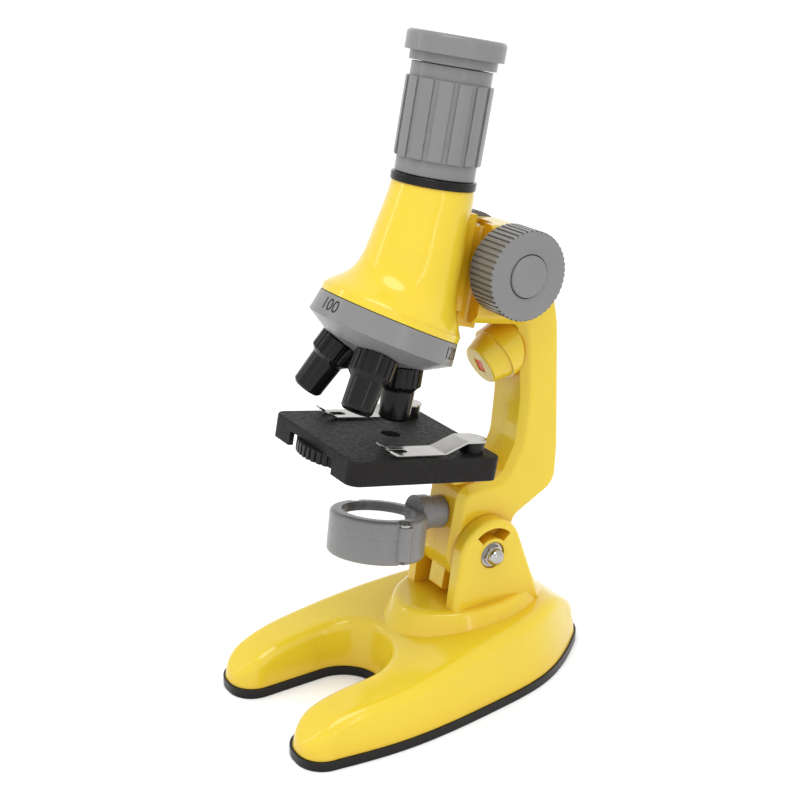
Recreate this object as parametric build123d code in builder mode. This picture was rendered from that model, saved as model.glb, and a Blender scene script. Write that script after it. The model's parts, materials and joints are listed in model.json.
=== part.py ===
from build123d import *
from math import cos, pi, radians, sin, tan
import os

os.makedirs("parts", exist_ok=True)

# Millimetres, +Z up, +Y to the back, +X to the side of the right-hand focus knob.
# The origin is on the table, under the middle of the base's bounding box.

# Base
base_length = 130
base_half_width = 38.5
leg_gap = 14.2  # half the space between the two legs
leg_root = -33  # where the straight inner sides of the legs end
foot_height = 0.2  # rubber pads below the rim
rim_top = 3.5
inner_corner = 9.5  # rounding of each leg's tip
outer_corner = 9.6
shell_inset = 0.7  # yellow shell stands inside the black rim
shell_wall = 2.2
shell_draft = 4.2  # how far the shell's sides lean in by shell_draft_height
shell_draft_height = 28
shell_edge = 4.5
mound_top = 30

# Tilt pivot and lean
pivot_y = 19
pivot_z = 48
lean = 11  # degrees the arm leans back from upright
ear_inner = 10.3
ear_outer = 15.8
ear_radius = 13
bolt_radius = 2

# Stage, measured along and across the light path
axis_to_pivot = 40
stage_to_pivot = 40
stage_half_width = 26.4
stage_front = 30.2
stage_back = 27.7
stage_corner = 4
stage_screw_spots = [(5.5, 20), (-5.5, 20)]
stage_skirt = 8
stage_thickness = 2.5
hole_radius = 3.4

# Arm
arm_half_width = 10
knob_y = 27
knob_z = 60
shaft_radius = 2
shaft_clearance = 0.06

# Tube column, heights above the stage
tube_top = 83.5
collar_top = 86.3
barrel_bottom = 86.6
barrel_top = 120.4
eyepiece_bottom = 120.8
flange_bottom = 123.7
column_top = 130

# Turret
turret_lean = 16  # turret axis against the light path
rim_ahead = 8.2
rim_height = 40.2
rim_radius = 23.8
turret_radius = 24.9
turret_band = 7.2
apex_height = rim_ahead / sin(radians(turret_lean))
objective_count = 3
objective_shoulder = 44.6  # from the point where the objective axes meet
objective_lengths = [18.6, 18.4, 20]  # rear, right and left

# Mirror and lamp unit
mirror_drop = 29
mirror_ahead = 0.6
mirror_roll = 7
ring_radius = 16.7

# Rack and pinion
module = 0.9
pinion_teeth = 10
pitch_radius = module * pinion_teeth / 2

# Resting frame of everything that leans: origin on the stage's light hole, z up the light path
s, c = sin(radians(lean)), cos(radians(lean))
stage_origin = Vector(
    0,
    pivot_y - axis_to_pivot * c + stage_to_pivot * s,
    pivot_z + axis_to_pivot * s + stage_to_pivot * c,
)
optic = Plane(stage_origin, x_dir=(1, 0, 0), z_dir=(0, s, c))
# The same frame seen from the side: local x is across the light path, local y along it
side = Plane(stage_origin, x_dir=(0, c, -s), z_dir=(1, 0, 0))
floor_side = Plane.YZ


def lifted(height):
    return optic.offset(height)


def across(y, z, x=0):
    """Side plane through the point y, z of the leaning frame, at lateral position x."""
    return Plane(side.from_local_coords(Vector(y, z, x)), x_dir=side.x_dir, z_dir=side.z_dir)


def disc(plane, radius, height, hole=0):
    """Round plate or tube standing on the plane."""
    with BuildPart() as round_piece:
        with BuildSketch(plane):
            Circle(radius)
            if hole:
                Circle(hole, mode=Mode.SUBTRACT)
        extrude(amount=height)
    return round_piece.part


def write(name, node):
    node.part.label = name
    export_step(node.part, f"parts/{name}.step")


# ---------------------------------------------------------------- base


def footprint(inset, height):
    """Horseshoe outline of the base, drawn in by inset."""
    gap = leg_gap + inset
    front = -base_length / 2 + inset
    width = base_half_width - inset
    tip_start = gap + inner_corner
    tip_end = tip_start + 1.5
    shoulder = (width - 2.6, front + outer_corner)
    with BuildSketch(Plane.XY.offset(height)) as outline:
        with BuildLine():
            Line((gap, leg_root), (gap, front + inner_corner))
            TangentArc((gap, front + inner_corner), (tip_start, front), tangent=(0, -1))
            Line((tip_start, front), (tip_end, front))
            ThreePointArc(
                (tip_end, front),
                (tip_end + 0.72 * (shoulder[0] - tip_end), front + 0.3 * outer_corner),
                shoulder,
            )
            Spline(
                shoulder,
                (width, -33),
                (width - 2.9, 9.3),
                (width - 8.8, 35.7),
                (15.8 - inset * 0.6, 57.5 - inset * 0.8),
                (0, base_length / 2 - inset),
                tangents=((0.16, 1), (-1, 0)),
            )
            mirror(about=Plane.YZ)
            ThreePointArc((gap, leg_root), (0, leg_root + gap), (-gap, leg_root))
        make_face()
    return outline.sketch


def crest(drop):
    """Side view of the base body below its rising back, lowered by drop."""
    with BuildSketch(floor_side) as view:
        with BuildLine():
            Spline(
                (-70, 2 - drop),
                (-64, 7.2 - drop),
                (-57, 13.2 - drop),
                (-35, 18.4 - drop),
                (0, 23.4 - drop),
                (30, 25.5 - drop),
                (46, 23.8 - drop),
                (56, 18 - drop),
                (66, 7 - drop),
            )
            Line((66, 7 - drop), (66, -2))
            Line((66, -2), (-70, -2))
            Line((-70, -2), (-70, 2 - drop))
        make_face()
    return view.sketch


pivot = Plane((0, pivot_y, pivot_z), x_dir=(0, 1, 0), z_dir=(1, 0, 0))
screw_posts = [(25, -54), (-25, -54), (23, 37), (-23, 37)]
foot_pads = [(25, -43), (-25, -43), (16, 49), (-16, 49)]
screw_radius = 1.5
cell_rows = [-2, 13.5]
cell_radius = 7.1
cell_length = 50.5
cell_height = 10.4
tray_half_length = 27.5
tray_front = -10.6
tray_back = 22.2
tray_top = 18.6


def shell_body(inset, bottom, drop, edge):
    """Horseshoe dome of the base with its rounded upper rim."""
    with BuildPart() as body:
        drawn_in = footprint(inset + shell_draft, shell_draft_height)
        loft([footprint(inset, bottom), drawn_in], ruled=True)
        add(extrude(crest(drop), amount=50, both=True, mode=Mode.PRIVATE), mode=Mode.INTERSECT)
        crown = body.faces().filter_by(lambda f: f.normal_at(f.center()).Z > 0.8)
        rim = [e for f in crown for e in f.edges() if abs(e.center().X) > 0.01 or e.length < 30]
        rim = [e for e in rim if max(abs((e @ t).X) for t in (0.2, 0.5, 0.8)) > 0.01]
        fillet(rim, radius=edge)
    return body.part


def yoke_block():
    """Both yoke ears in one piece, round about the tilt pivot, with softened outer rims."""
    with BuildPart() as block:
        with BuildSketch(floor_side):
            with BuildLine():
                Line((pivot_y - ear_radius, pivot_z + 1), (2.6, 24))
                Line((2.6, 24), (41.5, 24))
                Line((41.5, 24), (pivot_y + ear_radius - 0.6, pivot_z + 3.6))
                ThreePointArc(
                    (pivot_y + ear_radius - 0.6, pivot_z + 3.6),
                    (pivot_y, pivot_z + ear_radius),
                    (pivot_y - ear_radius, pivot_z + 1),
                )
            make_face()
        extrude(amount=ear_outer, both=True)
        cheeks = block.faces().filter_by(Axis.X)
        fillet([e for f in cheeks for e in f.edges() if e.center().Z > 25], radius=2)
    return block.part


outer_body = shell_body(shell_inset, rim_top, 0, shell_edge)

with BuildPart() as shell_posts:
    with BuildSketch(Plane.XY.offset(rim_top)):
        with Locations(*screw_posts):
            Circle(3.4)
    extrude(amount=25)
    add(outer_body, mode=Mode.INTERSECT)

with BuildPart() as base_shell:
    add(outer_body)
    # Raised island that carries the yoke
    with BuildSketch(Plane.XY.offset(19)):
        with Locations((0, 18.5)):
            Ellipse(24.6, 33)
    with BuildSketch(Plane.XY.offset(mound_top)):
        with Locations((0, 18.2)):
            Ellipse(19.4, 26.8)
    loft()
    mound_rim = base_shell.faces().filter_by(lambda f: f.center().Z > mound_top - 0.01)
    fillet(mound_rim.edges(), radius=3)
    add(yoke_block())
    # Hollow underside
    hollow_edge = shell_edge - 0.7
    hollow = shell_body(shell_inset + shell_wall, rim_top - 1, shell_wall + 0.4, hollow_edge)
    add(hollow, mode=Mode.SUBTRACT)
    # Slot for the arm between the ears
    with BuildSketch(Plane.XY.offset(mound_top)):
        with Locations((0, 22)):
            Rectangle(2 * ear_inner, 46)
    extrude(amount=40, mode=Mode.SUBTRACT)
    # Bolt hole, washer seats and the curved windows above the bolt
    with BuildSketch(pivot):
        Circle(bolt_radius)
    extrude(amount=30, both=True, mode=Mode.SUBTRACT)
    for seat in (ear_outer - 1.2, -ear_outer - 4):
        with BuildSketch(pivot.offset(seat)):
            Circle(4.9)
        extrude(amount=5.2, mode=Mode.SUBTRACT)
    with BuildSketch(pivot):
        Circle(10)
        Circle(6.2, mode=Mode.SUBTRACT)
        with BuildLine():
            Polyline((0, 0), (16, 14), (0, 30), (-12, 15), (0, 0))
        make_face(mode=Mode.INTERSECT)
    extrude(amount=30, both=True, mode=Mode.SUBTRACT)
    # Posts for the base screws
    add(shell_posts.part)
    with BuildSketch(Plane.XY.offset(rim_top - 1)):
        with Locations(*screw_posts):
            Circle(screw_radius)
    extrude(amount=8.5, mode=Mode.SUBTRACT)
write("base_shell", base_shell)

with BuildPart() as base_plate:
    with BuildSketch(Plane.XY.offset(foot_height)):
        add(footprint(0, foot_height))
    extrude(amount=rim_top - foot_height)
    # Battery tray, open downwards
    with BuildSketch(Plane.XY.offset(rim_top)):
        with Locations((0, (tray_front + tray_back) / 2)):
            Rectangle(2 * tray_half_length, tray_back - tray_front)
    extrude(amount=tray_top - rim_top)
    with BuildSketch(Plane.XY.offset(foot_height)):
        with Locations((0, (tray_front + tray_back) / 2)):
            Rectangle(2 * tray_half_length - 2.4, tray_back - tray_front - 2.4)
    extrude(amount=tray_top - 1 - foot_height, mode=Mode.SUBTRACT)
    # Screw holes with sunk heads, and shallow seats for the feet
    with BuildSketch(Plane.XY.offset(foot_height)):
        with Locations(*screw_posts):
            Circle(screw_radius)
    extrude(amount=4, mode=Mode.SUBTRACT)
    with BuildSketch(Plane.XY.offset(foot_height)):
        with Locations(*screw_posts):
            Circle(3)
    extrude(amount=1.5, mode=Mode.SUBTRACT)
    with BuildSketch(Plane.XY.offset(foot_height)):
        with Locations(*foot_pads):
            Circle(4.5)
    extrude(amount=0.6, mode=Mode.SUBTRACT)
    # Boss for the battery door's screw
    with BuildSketch(Plane.XY.offset(foot_height)):
        with Locations((0, tray_back + 5)):
            Circle(3)
    extrude(amount=9)
    with BuildSketch(Plane.XY.offset(foot_height)):
        with Locations((0, tray_back + 5)):
            Circle(1.2)
    extrude(amount=7, mode=Mode.SUBTRACT)
    with BuildSketch(Plane.XY.offset(foot_height)):
        with Locations((0, tray_back + 3.9)):
            SlotOverall(16, 10)
        with Locations((0, tray_back + 1.4)):
            Rectangle(16, 5.4)
    extrude(amount=1.2, mode=Mode.SUBTRACT)
write("base_plate", base_plate)

with BuildPart() as rubber_feet:
    with BuildSketch(Plane.XY):
        with Locations(*foot_pads):
            Circle(4.5)
    extrude(amount=foot_height + 0.6)
    fillet(rubber_feet.edges().group_by(Axis.Z)[0], radius=0.3)
write("rubber_feet", rubber_feet)

with BuildPart() as base_screws:
    with BuildSketch(Plane.XY.offset(foot_height + 0.2)):
        with Locations(*screw_posts):
            Circle(2.8)
            RectangleRounded(3, 0.7, 0.3, mode=Mode.SUBTRACT)
            RectangleRounded(0.7, 3, 0.3, mode=Mode.SUBTRACT)
    extrude(amount=1)
    with BuildSketch(Plane.XY.offset(foot_height + 1.2)):
        with Locations(*screw_posts):
            Circle(2.8)
    extrude(amount=0.3)
    with BuildSketch(Plane.XY.offset(foot_height + 1.5)):
        with Locations(*screw_posts):
            Circle(screw_radius)
    extrude(amount=8.5)
write("base_screws", base_screws)

with BuildPart() as battery_door:
    with BuildSketch(Plane.XY.offset(foot_height)):
        with Locations((0, (tray_front + tray_back) / 2)):
            RectangleRounded(2 * tray_half_length - 3, tray_back - tray_front - 3, 1.5)
    extrude(amount=2.6)
    # Ear that the door screw clamps against the plate
    with BuildSketch(Plane.XY.offset(foot_height)):
        with Locations((0, tray_back + 3.9)):
            SlotOverall(15.4, 9.4)
        with Locations((0, tray_back - 1.6)):
            Rectangle(15.4, 8)
    extrude(amount=1.1)
    with BuildSketch(Plane.XY.offset(foot_height)):
        with Locations((0, tray_back + 5)):
            Circle(1.2)
    extrude(amount=1.2, mode=Mode.SUBTRACT)
    # Finger grip grooves
    with BuildSketch(Plane.XY.offset(foot_height)):
        with GridLocations(0, 2.4, 1, 4):
            RectangleRounded(18, 1, 0.45)
    extrude(amount=0.5, mode=Mode.SUBTRACT)
write("battery_door", battery_door)

with BuildPart() as door_screw:
    with BuildSketch(Plane.XY.offset(foot_height - 0.15)):
        with Locations((0, tray_back + 5)):
            Circle(2.2)
            RectangleRounded(3.2, 0.6, 0.25, mode=Mode.SUBTRACT)
    extrude(amount=0.15)
    with BuildSketch(Plane.XY.offset(foot_height)):
        with Locations((0, tray_back + 5)):
            Circle(1.2)
    extrude(amount=6.5)
write("door_screw", door_screw)

with BuildPart() as battery_cells:
    for row, way in zip(cell_rows, (1, -1)):
        with BuildSketch(Plane.YZ.offset(-way * cell_length / 2)):
            with Locations((row, cell_height)):
                Circle(cell_radius)
        extrude(amount=way * (cell_length - 1.2))
        with BuildSketch(Plane.YZ.offset(way * (cell_length / 2 - 1.2))):
            with Locations((row, cell_height)):
                Circle(2.7)
        extrude(amount=way * 1.2)
write("battery_cells", battery_cells)

with BuildPart() as battery_contacts:
    for end in (1, -1):
        inner = end * cell_length / 2
        with BuildSketch(Plane.YZ.offset(inner)):
            with Locations(*[(row, cell_height) for row in cell_rows]):
                Rectangle(9, 9)
            if end == 1:
                with Locations((sum(cell_rows) / 2, cell_height)):
                    Rectangle(12, 4)
        extrude(amount=end * 0.5)
        with BuildSketch(Plane.YZ.offset(inner + end * 0.5)):
            with Locations(*[(row, cell_height) for row in cell_rows]):
                Rectangle(3, 6)
        extrude(amount=end * (tray_half_length - 1.2 - cell_length / 2 - 0.5))
write("battery_contacts", battery_contacts)

with BuildPart() as pivot_bolt:
    with BuildSketch(pivot.offset(-ear_outer + 0.4)):
        Circle(bolt_radius)
    extrude(amount=2 * ear_outer + 1.6)
    with BuildSketch(pivot.offset(-ear_outer + 0.4)):
        Circle(3.8)
    extrude(amount=-1.4)
    with BuildSketch(pivot.offset(-ear_outer - 1)):
        Circle(3.8)
    extrude(amount=-1.4, taper=38)
    with BuildSketch(pivot.offset(-ear_outer - 2.4)):
        Rectangle(6, 0.8)
    extrude(amount=1, mode=Mode.SUBTRACT)
write("pivot_bolt", pivot_bolt)

with BuildPart() as pivot_washers:
    for seat in (ear_outer - 1.2, -ear_outer + 0.4):
        with BuildSketch(pivot.offset(seat)):
            Circle(4.4)
            Circle(bolt_radius, mode=Mode.SUBTRACT)
        extrude(amount=0.8)
write("pivot_washers", pivot_washers)

with BuildPart() as dome_nut:
    with BuildSketch(pivot.offset(ear_outer - 0.4)):
        RegularPolygon(3.9, 6)
    extrude(amount=1.6)
    with BuildSketch(pivot.offset(ear_outer + 1.2)):
        Circle(3.1)
    extrude(amount=2.9)
    fillet(dome_nut.edges().sort_by(Axis.X)[-1], radius=2.6)
    with BuildSketch(pivot.offset(ear_outer - 0.4)):
        Circle(bolt_radius)
    extrude(amount=2.4, mode=Mode.SUBTRACT)
write("dome_nut", dome_nut)


# ---------------------------------------------------------------- arm

lamp_y, lamp_z = 44, 33  # where the lamp's axis leaves the arm, in the side view
lamp_reach = (lamp_y**2 + lamp_z**2) ** 0.5
lamp_aim = Plane(
    side.from_local_coords(Vector(lamp_y, lamp_z, 0)),
    x_dir=(1, 0, 0),
    z_dir=stage_origin - side.from_local_coords(Vector(lamp_y, lamp_z, 0)),
)
foot_radius = 13
nose_face = 26.3  # front of the arm's foot, behind the light path
spindle_radius = 3
arm_screw_spots = [(35, 66), (51, 21), (57, 0), (54, -18), (33, -22)]
rail_root = 4.2  # half widths of the focus rail's dovetail
rail_tip = 6.4
rail_face = 21.6
rail_bottom = 38.5
rail_top = 72


def arm_outline():
    with BuildSketch(side) as outline:
        with BuildLine():
            Polyline(
                (19.2, 40.5),
                (19.2, 73.5),
                (41, 73.5),
                (54.5, 43),
                (65.3, -2),
                (67.5, -16.5),
                (52, -28.5),
                (50.5, -40),
                (42, -50),
                (30.5, -50),
                (nose_face, -43),
                (nose_face, -17),
                (43.5, -14.8),
                (47.5, -2),
                (46, 14),
                (41.5, 33),
                (39, 40.5),
                (19.2, 40.5),
            )
        make_face()

        def corners(*points):
            found = []
            for point in points:
                found.append(outline.vertices().sort_by_distance(point)[0])
            return found

        fillet(corners((41, 73.5)), radius=14)
        fillet(corners((67.5, -16.5)), radius=8)
        fillet(corners((52, -28.5)), radius=5)
        fillet(corners((54.5, 43), (65.3, -2), (46, 14)), radius=40)
        fillet(corners((nose_face, -17)), radius=6)
        fillet(corners((43.5, -14.8)), radius=6)
        fillet(corners((47.5, -2)), radius=12)
        fillet(corners((39, 40.5), (41.5, 33)), radius=3)
        with Locations((axis_to_pivot, -stage_to_pivot)):
            Circle(foot_radius)
    return outline.sketch


dovetail_waist = 18.4  # where the rail's neck starts to flare
slot_gap = 0.25
cover_wall = 2.2


def along_axis(y, z, radius, half_length):
    """Cylinder across the object, through the point y, z of the side view."""
    with BuildPart() as rod:
        with BuildSketch(side):
            with Locations((y, z)):
                Circle(radius)
        extrude(amount=half_length, both=True)
    return rod.part


def rail_section(gap, front, back):
    """Plan of the dovetail, grown by gap, between two distances behind the light path."""
    with BuildSketch(lifted(rail_bottom)) as section:
        with BuildLine():
            Polyline(
                (-rail_root - gap, front),
                (rail_root + gap, front),
                (rail_root + gap, dovetail_waist - gap),
                (rail_tip + gap, back),
                (-rail_tip - gap, back),
                (-rail_root - gap, dovetail_waist - gap),
                (-rail_root - gap, front),
            )
        make_face()
    return section.sketch


spindle = Plane(
    side.from_local_coords(Vector(nose_face, -mirror_drop, 0)), x_dir=(1, 0, 0), z_dir=(0, c, -s)
)

with BuildPart() as arm_body:
    add(extrude(arm_outline(), amount=arm_half_width, both=True, mode=Mode.PRIVATE))
    cheeks = arm_body.faces().filter_by(Axis.X)
    rims = [(e, side.to_local_coords(e.center())) for f in cheeks for e in f.edges()]
    front_rims = [e for e, p in rims if -40 < p.Y < 40.2 and p.X < 48.5]
    chamfer(front_rims, length=2.6)
    cheeks = arm_body.faces().filter_by(Axis.X)
    rims = [(e, side.to_local_coords(e.center())) for f in cheeks for e in f.edges()]
    fillet([e for e, p in rims if p.Y > -28 and p.X > 48.6 or p.Y > 70], radius=2)
    # Bracket under the stage
    with BuildSketch(lifted(-12)):
        with Locations((0, 24.4)):
            RectangleRounded(18, 18.4, 2)
    extrude(amount=12 - 5.2)
    with BuildSketch(lifted(-17)):
        with Locations((0, 29.5)):
            Rectangle(12, 9)
    extrude(amount=10)
    # Stop tab below the foot
    with BuildSketch(across(0, 0)):
        with Locations((33.4, -53)):
            RectangleRounded(7.4, 8.4, 0.8)
    extrude(amount=4, both=True)
    # Wire duct with screw posts left standing in it
    with BuildSketch(side):
        with BuildLine():
            Polyline(
                (46, 30),
                (53.6, 36),
                (62.4, -2),
                (64, -13),
                (58, -18),
                (50.5, -12),
                (50.5, -2),
                (48.8, 14),
                (46, 30),
            )
        make_face()
        with Locations(*arm_screw_spots[1:4]):
            Circle(3, mode=Mode.SUBTRACT)
    extrude(amount=arm_half_width - cover_wall, both=True, mode=Mode.SUBTRACT)
    # Guide for the focus rail, room for the pinion, bores for shaft and pivot bolt
    add(
        extrude(rail_section(slot_gap, 15, rail_face + slot_gap), amount=40, mode=Mode.PRIVATE),
        mode=Mode.SUBTRACT,
    )
    with BuildSketch(lifted(rail_bottom)):
        with Locations((0, 22)):
            Rectangle(7.4, 3.4)
    extrude(amount=40, mode=Mode.SUBTRACT)
    add(along_axis(knob_y, knob_z, 6.2, 4.2), mode=Mode.SUBTRACT)
    add(along_axis(knob_y, knob_z, shaft_radius + shaft_clearance, 30), mode=Mode.SUBTRACT)
    add(
        along_axis(axis_to_pivot, -stage_to_pivot, bolt_radius + shaft_clearance, 30),
        mode=Mode.SUBTRACT,
    )
    # Bore and clip chamber for the mirror spindle
    with BuildSketch(spindle.offset(-4)):
        Circle(spindle_radius + shaft_clearance)
    extrude(amount=14, mode=Mode.SUBTRACT)
    with BuildSketch(spindle.offset(6.6)):
        Circle(5.2)
    extrude(amount=3.4, mode=Mode.SUBTRACT)
    # Socket for the lamp housing
    with BuildSketch(lamp_aim.offset(-5)):
        Circle(7.6)
    extrude(amount=15, mode=Mode.SUBTRACT)
    # Holes for the screws that join the two halves, heads sunk on the left
    with BuildSketch(side.offset(-20)):
        with Locations(*arm_screw_spots):
            Circle(1.3)
    extrude(amount=26, mode=Mode.SUBTRACT)
    with BuildSketch(side.offset(-arm_half_width - 1)):
        with Locations(*arm_screw_spots):
            Circle(2.7)
    extrude(amount=3.2, mode=Mode.SUBTRACT)
    # Holes for the stage screws, heads sunk from below
    with BuildSketch(lifted(-13)):
        with Locations(*stage_screw_spots):
            Circle(1.2)
    extrude(amount=9, mode=Mode.SUBTRACT)
    with BuildSketch(lifted(-13)):
        with Locations(*stage_screw_spots):
            Circle(2.5)
    extrude(amount=2.6, mode=Mode.SUBTRACT)

with BuildPart() as arm_right_half:
    add(arm_body.part)
    split(bisect_by=Plane.YZ, keep=Keep.TOP)
write("arm_right_half", arm_right_half)

with BuildPart() as arm_left_half:
    add(arm_body.part)
    split(bisect_by=Plane.YZ, keep=Keep.BOTTOM)
write("arm_left_half", arm_left_half)

with BuildPart() as arm_screw_set:
    with BuildSketch(side.offset(-arm_half_width + 1.2)):
        with Locations(*arm_screw_spots):
            Circle(2.4)
            Rectangle(2.8, 0.6, mode=Mode.SUBTRACT)
            Rectangle(0.6, 2.8, mode=Mode.SUBTRACT)
    extrude(amount=0.7)
    with BuildSketch(side.offset(-arm_half_width + 1.9)):
        with Locations(*arm_screw_spots):
            Circle(2.4)
    extrude(amount=0.3)
    with BuildSketch(side.offset(-arm_half_width + 2.2)):
        with Locations(*arm_screw_spots):
            Circle(1.3)
    extrude(amount=arm_half_width - 2.2 + 5.5)
write("arm_screws", arm_screw_set)

with BuildPart() as lamp_housing:
    with BuildSketch(lamp_aim.offset(0)):
        Circle(9.8)
    extrude(amount=8.5)
    with BuildSketch(lamp_aim.offset(8.5)):
        Circle(9)
    with BuildSketch(lamp_aim.offset(15.2)):
        Circle(7.2)
    loft()
    fillet(lamp_housing.edges().sort_by(Axis(lamp_aim.origin, lamp_aim.z_dir))[-1], radius=0.8)
    add(extrude(arm_outline(), amount=arm_half_width, both=True, mode=Mode.PRIVATE), mode=Mode.SUBTRACT)
    with BuildSketch(lamp_aim.offset(-4.5)):
        Circle(7.6)
    extrude(amount=10)
    # Bore for the bulb and window
    with BuildSketch(lamp_aim.offset(-4.5)):
        Circle(4.6)
    extrude(amount=17, mode=Mode.SUBTRACT)
    with BuildSketch(lamp_aim.offset(12)):
        RectangleRounded(4.2, 5.2, 0.6)
    extrude(amount=5, mode=Mode.SUBTRACT)
write("lamp_housing", lamp_housing)

with BuildPart() as lamp_window:
    with BuildSketch(lamp_aim.offset(12.5)):
        RectangleRounded(4.2, 5.2, 0.6)
    extrude(amount=2.4)
    with BuildSketch(lamp_aim.offset(11.2)):
        Circle(4.6)
    extrude(amount=1.3)
write("lamp_window", lamp_window)

with BuildPart() as lamp_bulb:
    with BuildSketch(lamp_aim.offset(-4.5)):
        Circle(4.6)
    extrude(amount=7)
    with BuildSketch(lamp_aim.offset(2.5)):
        Circle(2.5)
    extrude(amount=4.5)
    fillet(lamp_bulb.edges().sort_by(Axis(lamp_aim.origin, lamp_aim.z_dir))[-1], radius=2.2)
write("lamp_bulb", lamp_bulb)


# ---------------------------------------------------------------- stage, clips, diaphragm

clip_x = 19.5
clip_y = 19.5
clip_width = 8.7
clip_sheet = 0.7
post_height = 4.2
wheel_ahead = 14.5
wheel_radius = 18.2
wheel_drop = 3.15
wheel_thickness = 3.9

with BuildPart() as stage_plate:
    stage_middle = (stage_back - stage_front) / 2
    stage_depth = stage_front + stage_back
    with BuildSketch(lifted(-stage_skirt)):
        with Locations((0, stage_middle)):
            RectangleRounded(2 * stage_half_width, stage_depth, stage_corner)
    extrude(amount=stage_skirt)
    top_rim = stage_plate.faces().sort_by(Axis(optic.origin, optic.z_dir))[-1]
    fillet(top_rim.edges(), radius=0.6)
    with BuildSketch(lifted(-stage_skirt)):
        with Locations((0, stage_middle)):
            RectangleRounded(2 * stage_half_width - 3.6, stage_depth - 3.6, stage_corner - 1.8)
    extrude(amount=stage_skirt - stage_thickness, mode=Mode.SUBTRACT)
    with BuildSketch(lifted(-stage_skirt)):
        with Locations((0, -stage_front)):
            Rectangle(28, 8)
        with Locations((0, stage_back)):
            Rectangle(18.6, 8)
    extrude(amount=stage_skirt - stage_thickness - 0.5, mode=Mode.SUBTRACT)
    # Bosses for the two stage screws and for the diaphragm wheel
    with BuildSketch(lifted(-5.2)):
        with Locations(*stage_screw_spots):
            Circle(2.6)
    extrude(amount=5.2 - stage_thickness)
    with BuildSketch(lifted(-5.2)):
        with Locations(*stage_screw_spots):
            Circle(1.2)
    extrude(amount=3.8, mode=Mode.SUBTRACT)
    with BuildSketch(lifted(-stage_skirt)):
        with Locations((0, -wheel_ahead)):
            Circle(1.2)
    extrude(amount=stage_skirt - 1, mode=Mode.SUBTRACT)
    # Light hole, and holes for the clip pins
    with BuildSketch(lifted(-stage_skirt)):
        Circle(hole_radius)
        with Locations((clip_x, clip_y), (-clip_x, clip_y)):
            Circle(1.5 + shaft_clearance)
    extrude(amount=stage_skirt + 1, mode=Mode.SUBTRACT)
write("stage_plate", stage_plate)

with BuildPart() as stage_screws:
    with BuildSketch(lifted(-11.8)):
        with Locations(*stage_screw_spots):
            Circle(2.4)
            Rectangle(2.8, 0.6, mode=Mode.SUBTRACT)
            Rectangle(0.6, 2.8, mode=Mode.SUBTRACT)
    extrude(amount=0.8)
    with BuildSketch(lifted(-11)):
        with Locations(*stage_screw_spots):
            Circle(2.4)
    extrude(amount=0.6)
    with BuildSketch(lifted(-10.4)):
        with Locations(*stage_screw_spots):
            Circle(1.2)
    extrude(amount=8.6)
write("stage_screws", stage_screws)

with BuildPart() as diaphragm_wheel:
    with BuildSketch(lifted(-wheel_drop - wheel_thickness)):
        with Locations((0, -wheel_ahead)):
            Circle(wheel_radius)
    extrude(amount=wheel_thickness)
    with BuildSketch(lifted(-wheel_drop - wheel_thickness)):
        with Locations((0, -wheel_ahead)):
            Circle(wheel_radius - 1.2)
    extrude(amount=wheel_thickness - 1.5, mode=Mode.SUBTRACT)
    with BuildSketch(lifted(-wheel_drop - 3.05)):
        with Locations((0, -wheel_ahead)):
            Circle(3)
    extrude(amount=1.9)
    with BuildSketch(lifted(-wheel_drop - 5)):
        with Locations((0, -wheel_ahead)):
            Circle(1.8 + shaft_clearance)
            with PolarLocations(wheel_ahead, 1, start_angle=90):
                Circle(3)
            with PolarLocations(wheel_ahead, 1, start_angle=162):
                Circle(2.4)
            with PolarLocations(wheel_ahead, 1, start_angle=234):
                Circle(1.8)
            with PolarLocations(wheel_ahead, 1, start_angle=306):
                Circle(1.2)
            with PolarLocations(wheel_ahead, 1, start_angle=18):
                Circle(0.7)
    extrude(amount=6, mode=Mode.SUBTRACT)
    # Finger ribs on the rim
    with BuildSketch(lifted(-wheel_drop - 5)):
        with Locations((0, -wheel_ahead)):
            with PolarLocations(wheel_radius, 46):
                Rectangle(1.1, 1.05)
    extrude(amount=6, mode=Mode.SUBTRACT)
write("diaphragm_wheel", diaphragm_wheel)

with BuildPart() as diaphragm_screw:
    with BuildSketch(lifted(-stage_thickness)):
        with Locations((0, -wheel_ahead)):
            Circle(1.8)
    extrude(amount=-3.9)
    with BuildSketch(lifted(-stage_thickness)):
        with Locations((0, -wheel_ahead)):
            Circle(1.2)
    extrude(amount=1.5)
    with BuildSketch(lifted(-stage_thickness - 3.9)):
        with Locations((0, -wheel_ahead)):
            Circle(3)
    extrude(amount=-0.9)
    with BuildSketch(lifted(-stage_thickness - 4.8)):
        with Locations((0, -wheel_ahead)):
            Rectangle(4, 0.7)
    extrude(amount=0.5, mode=Mode.SUBTRACT)
write("diaphragm_screw", diaphragm_screw)


def clip(x):
    """Spring clip: tail on its post, a ramp down, a flat blade and an upturned forked tip."""
    with BuildPart() as strip:
        with BuildSketch(across(0, 0, x)):
            with BuildLine() as path:
                FilletPolyline(
                    (clip_y + 5, post_height + clip_sheet / 2),
                    (clip_y - 5.5, post_height + clip_sheet / 2),
                    (5.5, 0.65),
                    (-12, 0.65),
                    (-15.4, 2.3),
                    radius=2.4,
                )
                offset(amount=clip_sheet / 2, side=Side.BOTH, mode=Mode.REPLACE)
            make_face()
        extrude(amount=clip_width / 2, both=True)
        with BuildSketch(lifted(-1)):
            with Locations((x, 0)):
                with Locations((0, clip_y - 20)):
                    Rectangle(clip_width, 40)
                with Locations((0, clip_y)):
                    Circle(clip_width / 2)
                with Locations((0, -12.5)):
                    SlotOverall(12, 3.4, rotation=90, mode=Mode.SUBTRACT)
        extrude(amount=8, mode=Mode.INTERSECT)
    return strip


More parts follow.
